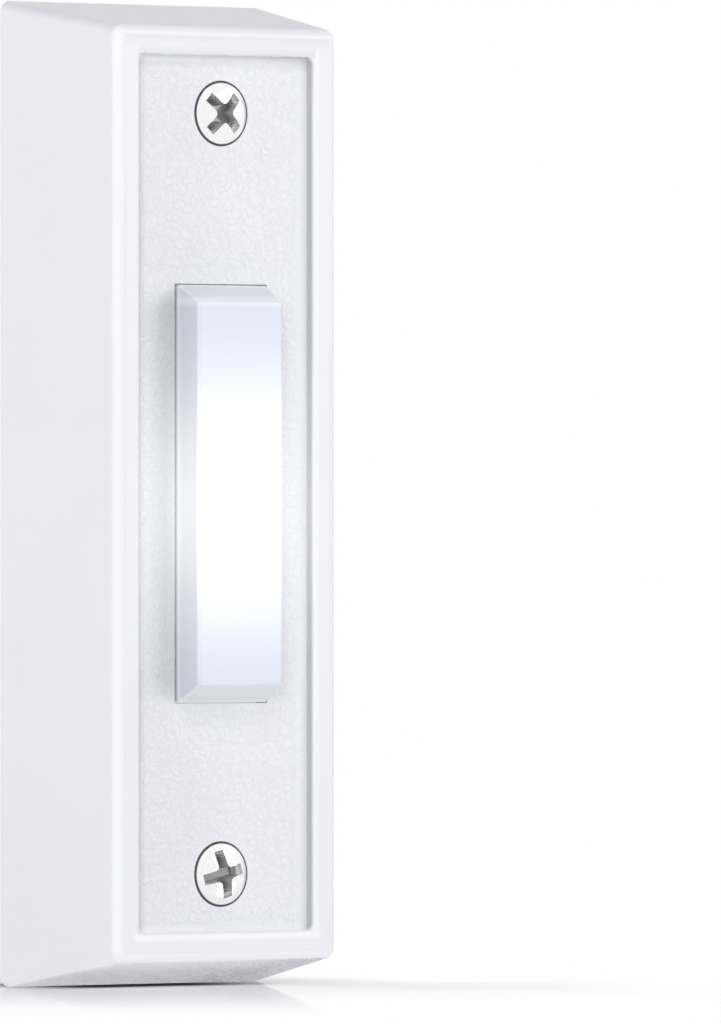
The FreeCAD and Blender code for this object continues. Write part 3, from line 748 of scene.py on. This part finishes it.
def hole_at(vertex):
    """Name of the panel's hole that a vertex of its outline belongs to, or nothing."""
    x, z = abs(vertex.co.x), abs(vertex.co.z)
    if x < WINDOW_HALF[0] + 0.01 and z < WINDOW_HALF[1] + 0.01:
        return "window"
    if math.hypot(x, z - SCREW_Z) < SEAT_RADIUS + 0.05:
        return "upper" if vertex.co.z > 0 else "lower"
    return ""


def cut_out_panel(mesh):
    """Deletes the flat panel and returns the edges around it."""
    def flat(face):
        return all(abs(vertex.co.y - PANEL_Y) < 1e-3 for vertex in face.verts)

    old = [face for face in mesh.faces if flat(face)]
    old_set = set(old)
    rim_edges = [
        edge for edge in mesh.edges if sum(face in old_set for face in edge.link_faces) == 1
    ]
    bmesh.ops.delete(mesh, geom=old, context="FACES_ONLY")
    return rim_edges


def grain_panel(mesh):
    """Puts a fine grained surface in place of the flat panel, inside the same outlines."""
    rim_edges = cut_out_panel(mesh)
    verts = list(dict.fromkeys(vertex for edge in rim_edges for vertex in edge.verts))
    number = {vertex: index for index, vertex in enumerate(verts)}
    holes = [hole_at(vertex) for vertex in verts]
    points = [Vector((vertex.co.x, vertex.co.z)) for vertex in verts]
    rows = int(RECESS_HALF[1] / LEATHER_ROW)
    columns = int(RECESS_HALF[0] / LEATHER_STEP)
    for row in range(-rows, rows + 1):
        for column in range(-columns, columns + 1):
            x = (column + 0.5 * (row % 2)) * LEATHER_STEP
            z = row * LEATHER_ROW
            clear = distance_to_outlines(x, z)
            if clear > 0.6 * LEATHER_STEP:
                depth = leather_depth(x, z) * smooth_step(clear, 0.0, CALM_BORDER)
                verts.append(mesh.verts.new((x, PANEL_Y + depth, z)))
                holes.append("")
                points.append(Vector((x, z)))
    edges = [(number[edge.verts[0]], number[edge.verts[1]]) for edge in rim_edges]
    result = geometry.delaunay_2d_cdt(points, edges, [], 0, 1e-5, True)
    source = [ids[0] for ids in result[3]]
    for triangle in result[2]:
        a, b, c = (source[corner] for corner in triangle)
        if holes[a] and holes[a] == holes[b] == holes[c]:
            continue
        face = mesh.faces.new((verts[a], verts[b], verts[c]))
        face.normal_update()
        if face.normal.y > 0:
            face.normal_flip()


# Without a seed, Blender starts its vector noise from the clock.
noise.seed_set(GRAIN_SEED)
housing_mesh = cad_mesh("housing")
grain_panel(housing_mesh)
housing = as_piece(housing_mesh, "housing_shell", "housing_white", "housing")
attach(housing, ROOT)


# Push bar
bar = as_piece(cad_mesh("push_bar"), "push_bar_lens", "bar_lens", "push_bar")
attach(bar, BAR)


# Wall screws, with their rolled thread
THREAD_PITCH = 1.06
THREAD_ROOT = 1.02
THREAD_CREST = 1.42
THREAD_HALF_WIDTH = 0.24
THREAD_FLANK_POWER = 0.8
THREAD_START_Y = 0.5
THREAD_RUN_OUT = 0.8
POINT_LENGTH = 3.5
TIP_RADIUS = 0.12
TIP_Y = 19.05
SHANK_RADIUS = 1.25
NECK_CUT_Y = -9.0
NECK_OVERLAP = 0.3
THREAD_SIDES = 36
ROWS_PER_TURN = 14


def thread_radius(y, turn):
    """Radius of the threaded part at y along its axis, turn being the angle in turns."""
    phase = (y / THREAD_PITCH - turn) % 1.0
    ridge = max(0.0, 1 - abs(phase - 0.5) / THREAD_HALF_WIDTH) ** THREAD_FLANK_POWER
    start = smooth_step(y, THREAD_START_Y, THREAD_START_Y + THREAD_RUN_OUT)
    root = SHANK_RADIUS + (THREAD_ROOT - SHANK_RADIUS) * start
    crest = root + (THREAD_CREST - root) * ridge * start
    taper = min(1.0, (TIP_Y - y) / POINT_LENGTH)
    return TIP_RADIUS + (crest - TIP_RADIUS) * taper


def threaded_part(mesh, z):
    rows = int((TIP_Y - NECK_CUT_Y) / THREAD_PITCH * ROWS_PER_TURN)
    rings = []
    for row in range(rows + 1):
        y = NECK_CUT_Y - NECK_OVERLAP + (TIP_Y - NECK_CUT_Y + NECK_OVERLAP) * row / rows
        ring = []
        for step in range(THREAD_SIDES):
            turn = step / THREAD_SIDES
            radius = thread_radius(y, turn)
            angle = 2 * math.pi * turn
            place = (radius * math.cos(angle), y, z + radius * math.sin(angle))
            ring.append(mesh.verts.new(place))
        rings.append(ring)
    for low, high in zip(rings, rings[1:]):
        for step in range(THREAD_SIDES):
            following = (step + 1) % THREAD_SIDES
            mesh.faces.new((low[step], high[step], high[following], low[following]))
    mesh.faces.new(rings[0])
    mesh.faces.new(list(reversed(rings[-1])))


def wall_screw(end, z):
    """Head and neck from the model, and a threaded part in place of its plain cylinders."""
    node = "mounting_screw_" + end
    mesh = cad_mesh(node)
    cut = bmesh.ops.bisect_plane(
        mesh, geom=everything(mesh), plane_co=(0, NECK_CUT_Y, 0), plane_no=(0, 1, 0),
        clear_outer=True,
    )
    open_edges = [part for part in cut["geom_cut"] if isinstance(part, bmesh.types.BMEdge)]
    bmesh.ops.edgeloop_fill(mesh, edges=open_edges)
    threaded_part(mesh, z)
    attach(as_piece(mesh, "wall_screw_" + end, "screw_steel", node, sharp=35.0), ROOT)


for end, side in (("lower", -1), ("upper", 1)):
    wall_screw(end, side * SCREW_Z)


# Return springs, drawn at one length; in the switch they shorten as the bar goes in
SPRING_Z = 13.5
SPRING_FRONT_Y = -10.8
SPRING_WIRE = 0.175
SPRING_RADIUS = 1.7
SPRING_TURNS = 4.5
CLOSED_TURNS = 0.75
CLOSED_PITCH = 0.4
POINTS_PER_TURN = 40


def spring_points(z):
    """Middle of the wire: a closed end, the open turns, and another closed end."""
    low_y = SPRING_FRONT_Y + SPRING_WIRE
    high_y = BASE_FRONT_Y - SPRING_WIRE
    closed_rise = CLOSED_TURNS * CLOSED_PITCH
    radius = SPRING_RADIUS - SPRING_WIRE
    steps = int(SPRING_TURNS * POINTS_PER_TURN)
    points = []
    for step in range(steps + 1):
        turn = SPRING_TURNS * step / steps
        if turn < CLOSED_TURNS:
            y = low_y + closed_rise * turn / CLOSED_TURNS
        elif turn > SPRING_TURNS - CLOSED_TURNS:
            y = high_y - closed_rise * (SPRING_TURNS - turn) / CLOSED_TURNS
        else:
            share = (turn - CLOSED_TURNS) / (SPRING_TURNS - 2 * CLOSED_TURNS)
            y = low_y + closed_rise + share * (high_y - low_y - 2 * closed_rise)
        angle = 2 * math.pi * turn
        points.append(Vector((radius * math.cos(angle), y, z + radius * math.sin(angle))))
    return points


def return_spring(end, z):
    mesh = bmesh.new()
    tube(mesh, spring_points(z), SPRING_WIRE)
    spring = as_piece(mesh, "spring_coil_" + end, "spring_steel", "return_spring_" + end)
    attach(spring, ROOT)
    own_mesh(spring)


for end, side in (("lower", -1), ("upper", 1)):
    return_spring(end, side * SPRING_Z)


# Contact leaf, cut across between its rivet and the bar's post, where the real leaf bends
LEAF_CUTS = (-6.0, -5.6, -5.2, -4.8, -4.4, -4.0, -3.6)

leaf_mesh = cad_mesh("contact_leaf")
for cut_x in LEAF_CUTS:
    bmesh.ops.bisect_plane(
        leaf_mesh, geom=everything(leaf_mesh), plane_co=(cut_x, 0, 0), plane_no=(1, 0, 0)
    )
leaf = as_piece(leaf_mesh, "contact_spring_leaf", "spring_bronze", "contact_leaf")
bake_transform(leaf)


# Other pieces keep their model's shape and get a finish; these also get softened edges
SOFTENED = {
    "switch_base": 0.15, "fixed_contact_strip": 0.06, "fixed_contact": 0.08,
    "leaf_contact": 0.06, "contact_rivet_left": 0.12, "contact_rivet_right": 0.12,
    "terminal_plate_left": 0.08, "terminal_plate_right": 0.08, "wire_washer_left": 0.1,
    "wire_washer_right": 0.1, "terminal_screw_left": 0.06, "terminal_screw_right": 0.06,
    "led_board": 0.05, "rectifier_diode": 0.15, "resistor": 0.1, "led_lamp": 0.06,
}
SLOTS = {
    "switch_base": "base_plastic", "leaf_contact": "contact_silver",
    "fixed_contact": "contact_silver", "fixed_contact_strip": "strip_brass",
    "led_board": "board_green", "led_lamp": "lamp_epoxy", "rectifier_diode": "diode_black",
    "resistor": "resistor_tan", "contact_rivet": "strip_brass", "terminal_plate": "strip_brass",
    "wire_washer": "screw_steel", "terminal_screw": "screw_steel", "lamp_lead": "tinned_wire",
    "diode_lead": "tinned_wire", "resistor_lead": "tinned_wire", "jumper_wire": "wire_cover",
    "solder_lamp": "solder", "solder_diode": "solder", "solder_resistor": "solder",
    "solder_wire": "solder", "solder_rivet": "solder",
}
DRESSED_ABOVE = {
    "housing", "push_bar", "mounting_screw_lower", "mounting_screw_upper",
    "return_spring_lower", "return_spring_upper", "contact_leaf",
}


def slot_of(node):
    for ending in ("_left", "_right"):
        if node.endswith(ending):
            node = node[: -len(ending)]
    return SLOTS[node]


def softened_piece(node):
    mesh = cad_mesh(node)
    soften(mesh, SOFTENED[node])
    piece = as_piece(mesh, node + "_softened", slot_of(node), node)
    if slot_of(node) == "screw_steel":
        piece.data.materials[0] = TERMINAL_FINISH
    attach(piece, BAR if node == "leaf_contact" else ROOT)


for node, shown in sorted(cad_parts.items()):
    if node in DRESSED_ABOVE:
        continue
    if node in SOFTENED:
        softened_piece(node)
    else:
        # A node that is already smooth keeps its mesh and only gets its finish.
        for material_slot in shown.material_slots:
            material_slot.material = MATERIALS[slot_of(node)]


# Floor under the housing's lower back edge, with a painted contact shadow where the back stands.
# Its tones and its mirror follow the distance from the strip where the back stands.
FLOOR_Z = -BACK_HALF_HEIGHT * MM
FLOOR_HALF = 3.0
FLOOR_LIFT = 0.42
STRIP_HALF_DEPTH = 0.3
CONTACT_SHADOW_MIDDLE_X = -1.5
CONTACT_SHADOW_STRENGTH = 0.97
MIRROR_SHARE = 0.66
MIRROR_GREY = 0.68
WHITE = (1, 1, 1, 1)


def blended_shader(s, factor, first, second):
    node = s.add("ShaderNodeMixShader", {0: factor, 1: first, 2: second})
    return node.outputs[0]


def floor_material():
    s = Surface("studio_floor", (0.93, 0.93, 0.935), 0.5, specular=0.0)
    x, y, _ = s.axes()
    seen = s.seen_directly()
    gap = s.outside(x, y, BACK_HALF_WIDTH, STRIP_HALF_DEPTH)
    # Painted contact shadow near the middle of the strip where the back stands; it also holds back
    # the lift and the mirror there
    from_middle = s.magnitude(s.math("SUBTRACT", x, CONTACT_SHADOW_MIDDLE_X * MM))
    painted_contact_shadow = s.multiply(s.ramp_mm(gap, 9, 4), s.ramp_mm(from_middle, 15, 5))
    clear = s.math("MULTIPLY_ADD", painted_contact_shadow, -CONTACT_SHADOW_STRENGTH, 1.0)
    s.paint(s.mix(clear, (0.04, 0.04, 0.045), s.color))

    # Within 6 mm of the strip the floor is lifted less, a painted shade along the object's foot
    lifting = s.multiply(seen, s.ramp_mm(gap, 0, 6, FLOOR_LIFT / 2, FLOOR_LIFT), clear)
    lift = s.add("ShaderNodeEmission", {"Color": WHITE, "Strength": lifting}).outputs[0]
    lifted = s.add("ShaderNodeAddShader", {0: s.shader.outputs[0], 1: lift}).outputs[0]

    level = s.multiply(clear, s.ramp_mm(gap, 0, 60, MIRROR_GREY, 1.0))
    grey = s.add("ShaderNodeCombineColor", {0: level, 1: level, 2: level}).outputs[0]
    mirror = s.add("ShaderNodeBsdfAnisotropic", {"Color": grey, "Roughness": 0.02}).outputs[0]
    shaded = blended_shader(s, s.ramp_mm(gap, 0, 85, MIRROR_SHARE, 0.0), lifted, mirror)

    # The floor is plain white far away, and already near the object on its right side.
    bare_right = s.multiply(s.ramp_mm(x, 12, 28), s.ramp_mm(y, -30, -8))
    open_right = s.largest(s.ramp_mm(x, 18, 40), bare_right)
    far = s.multiply(seen, s.largest(s.ramp_mm(gap, 50, 120), open_right))
    plain = s.add("ShaderNodeEmission", {"Color": WHITE, "Strength": 1.0}).outputs[0]
    surface = s.tree.nodes["Material Output"].inputs["Surface"]
    s.feed(surface, blended_shader(s, far, shaded, plain))
    return s.material


def make_floor():
    mesh = bmesh.new()
    corners = [(-1, -1), (1, -1), (1, 1), (-1, 1)]
    mesh.faces.new([mesh.verts.new((FLOOR_HALF * x, FLOOR_HALF * y, FLOOR_Z)) for x, y in corners])
    data = bpy.data.meshes.new("studio_floor")
    mesh.to_mesh(data)
    mesh.free()
    data.materials.append(floor_material())
    floor = bpy.data.objects.new("studio_floor", data)
    bpy.context.scene.collection.objects.link(floor)
    floor.visible_diffuse = False


make_floor()


# Lamps and world. The background is white, and the light it sheds comes mostly from below.
SKY_STRENGTH = 0.26
GROUND_STRENGTH = 0.47
NADIR_STRENGTH = 1.2
HORIZON_HALF = 0.05
LAMP_DISTANCE = 1.0
# Name, direction from the object, width and height in metres, and power in watts
LAMPS = (
    ("left_softbox", (-0.73, -0.68, 0.18), (0.3, 0.9), 3.6),
    ("right_softbox", (0.66, -0.70, 0.14), (0.6, 0.8), 3.7),
    ("side_softbox", (-0.97, 0.24, 0.05), (0.5, 0.7), 2.6),
    ("top_strip", (-0.25, -0.62, 0.74), (0.7, 0.2), 2.1),
)


def make_world():
    world = bpy.data.worlds.new("studio_world")
    bpy.context.scene.world = world
    world.use_nodes = True
    n = Nodes(world.node_tree)
    direction = n.add("ShaderNodeTexCoord").outputs["Generated"]
    up = n.add("ShaderNodeSeparateXYZ", {0: direction}).outputs["Z"]

    def share_of(low, high, to_low, to_high):
        limits = {"From Min": low, "From Max": high, "To Min": to_low, "To Max": to_high}
        return n.add("ShaderNodeMapRange", {"Value": up, **limits}).outputs["Result"]

    horizon = share_of(HORIZON_HALF, -HORIZON_HALF, SKY_STRENGTH, GROUND_STRENGTH)
    deeper = share_of(0.0, -1.0, 0.0, NADIR_STRENGTH - GROUND_STRENGTH)
    shed = n.total(horizon, deeper)
    strength = n.add("ShaderNodeMix", {0: n.seen_directly(), 2: shed, 3: 1.0}).outputs[0]
    background = n.tree.nodes["Background"]
    n.feed(background.inputs["Color"], WHITE)
    n.feed(background.inputs["Strength"], strength)


def area_lamp(name, direction, size, power):
    """Soft lamp that looks at the object's middle from direction."""
    data = bpy.data.lights.new(name, "AREA")
    data.shape = "RECTANGLE"
    data.size, data.size_y = size
    data.energy = power
    lamp = bpy.data.objects.new(name, data)
    away = Vector(direction).normalized()
    lamp.location = away * LAMP_DISTANCE
    lamp.rotation_euler = (-away).to_track_quat("-Z", "Y").to_euler()
    bpy.context.scene.collection.objects.link(lamp)


make_world()
for lamp_facts in LAMPS:
    area_lamp(*lamp_facts)


# Camera: the photograph's view of the object, which fills the left of its frame. Angles are in
# degrees and the distance in metres.
CAMERA_DISTANCE = 1.1447
CAMERA_AZIMUTH = -35.40
CAMERA_ELEVATION = -0.20
AIM_AZIMUTH = -36.36
AIM_ELEVATION = -0.125
FOCAL_PIXELS = 13587
IMAGE_HEIGHT = 1024
SENSOR_SIZE = 36.0
CLIP_START = 0.05


def toward(azimuth, elevation):
    a, e = math.radians(azimuth), math.radians(elevation)
    return Vector((math.sin(a) * math.cos(e), -math.cos(a) * math.cos(e), math.sin(e)))


def make_camera():
    data = bpy.data.cameras.new("photo_camera")
    data.sensor_width = SENSOR_SIZE
    data.lens = FOCAL_PIXELS / IMAGE_HEIGHT * SENSOR_SIZE
    data.clip_start = CLIP_START
    camera = bpy.data.objects.new("photo_camera", data)
    camera.location = toward(CAMERA_AZIMUTH, CAMERA_ELEVATION) * CAMERA_DISTANCE
    looking = -toward(AIM_AZIMUTH, AIM_ELEVATION)
    camera.rotation_euler = looking.to_track_quat("-Z", "Y").to_euler()
    bpy.context.scene.collection.objects.link(camera)
    bpy.context.scene.camera = camera


make_camera()
bpy.context.scene.view_settings.view_transform = "Standard"

bpy.context.view_layer.update()
